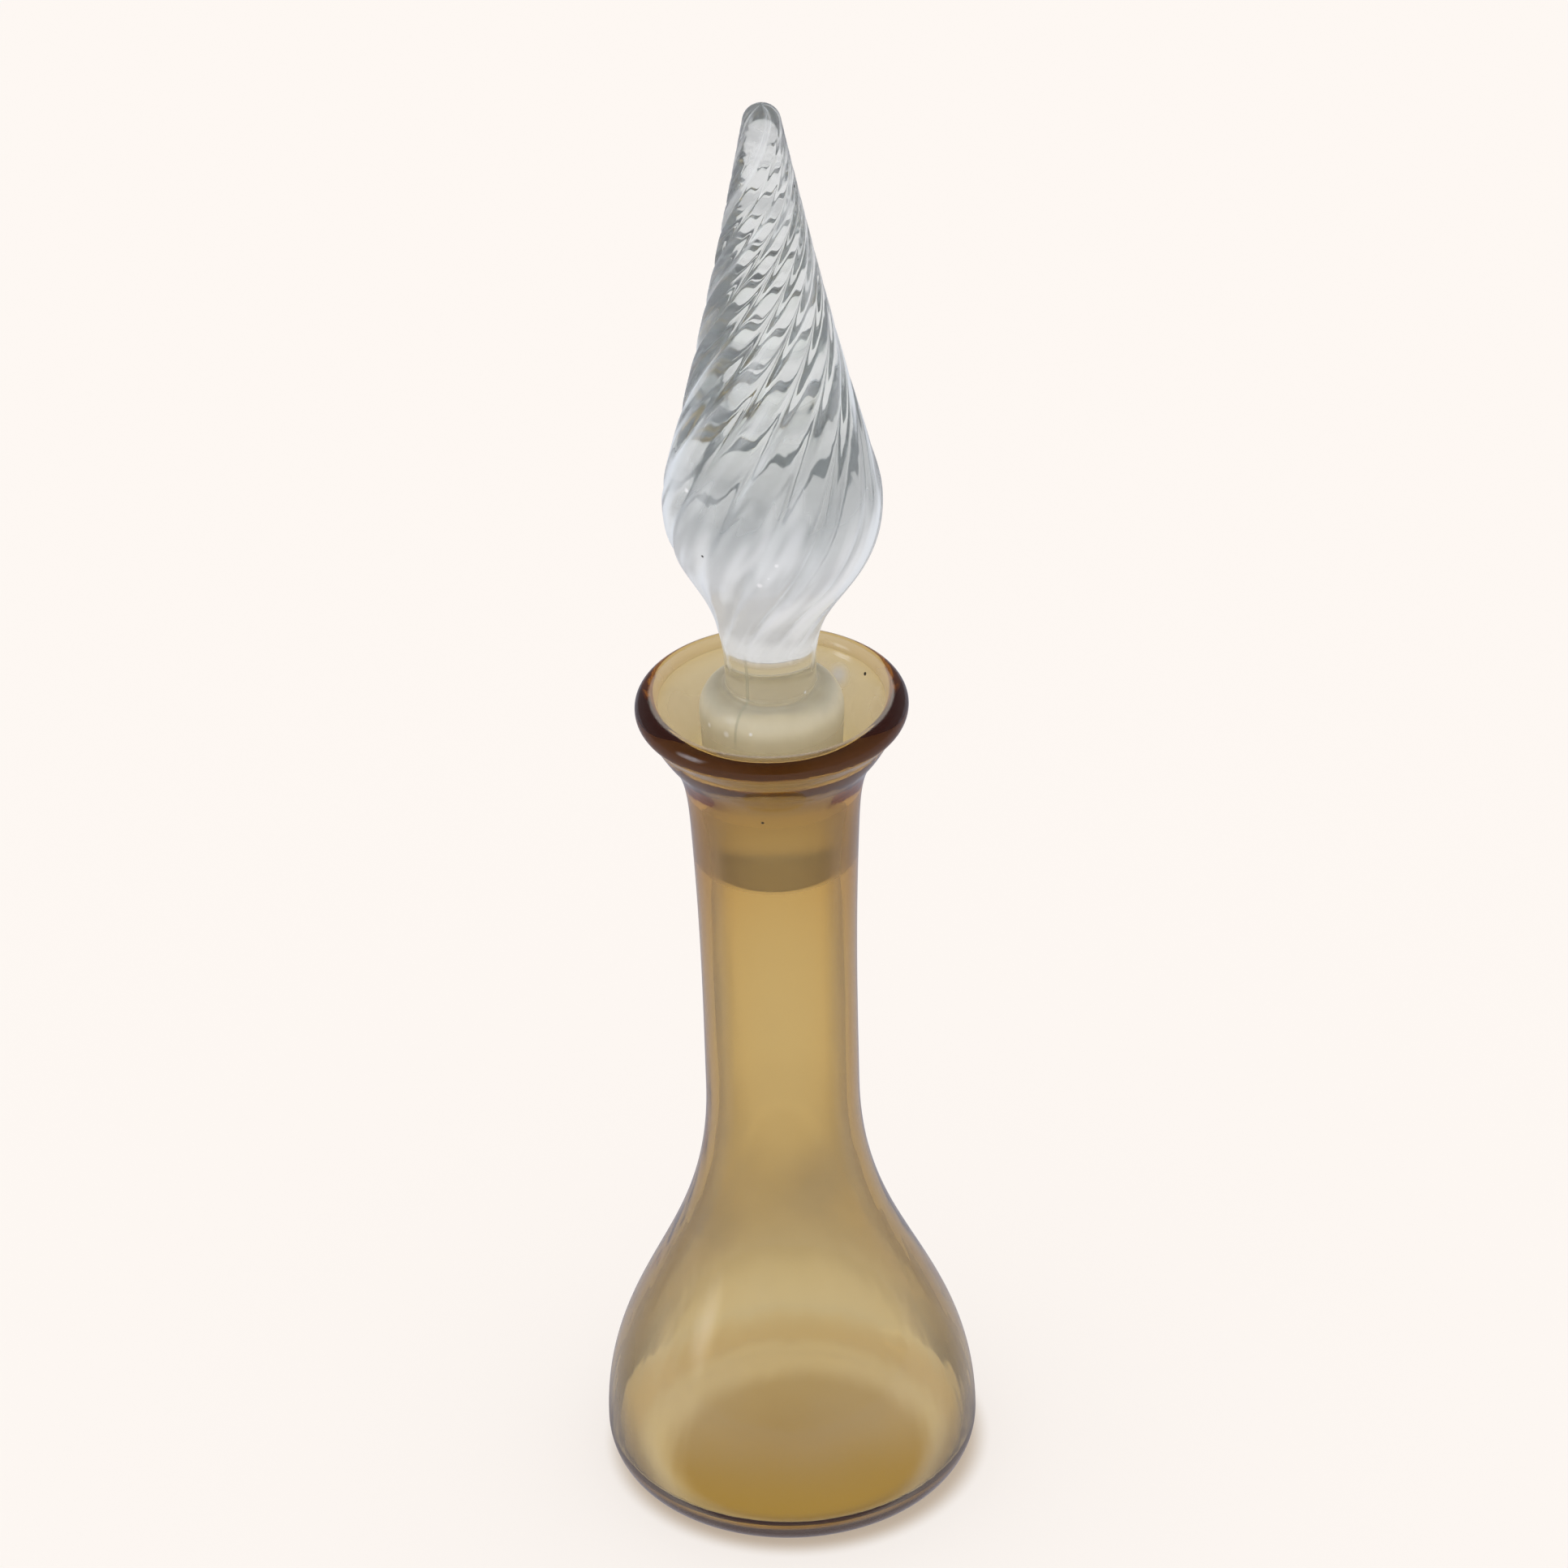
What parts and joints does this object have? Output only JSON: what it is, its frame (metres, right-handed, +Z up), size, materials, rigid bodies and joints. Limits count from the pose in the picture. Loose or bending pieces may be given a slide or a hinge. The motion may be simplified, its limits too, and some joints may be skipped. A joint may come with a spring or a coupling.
{
  "type": "glass carafe",
  "caption": "Amber glass decanter with a bell-shaped belly, long neck and flared lip, closed by a clear swirl-ribbed flame stopper that lifts out.",
  "frame": {"origin": "middle of the foot ring, on the surface that the bottle stands on", "axes": "+Z up along the axis of the bottle and the stopper; the front of the picture is towards -Y"},
  "size_m": [0.087, 0.087, 0.3545],
  "materials": {
    "amber_glass": "transparent amber glass, fire-polished",
    "clear_glass": "clear pressed glass, dull ground taper on the plug"
  },
  "bodies": {
    "bottle": {"bottle": "amber_glass"},
    "stopper": {"stopper": "clear_glass"}
  },
  "joints": [
    {"name": "stopper_lift", "type": "slide", "parent": "bottle", "child": "stopper", "axis": [0, 0, 1], "range_m": [0, 0.08]}
  ]
}
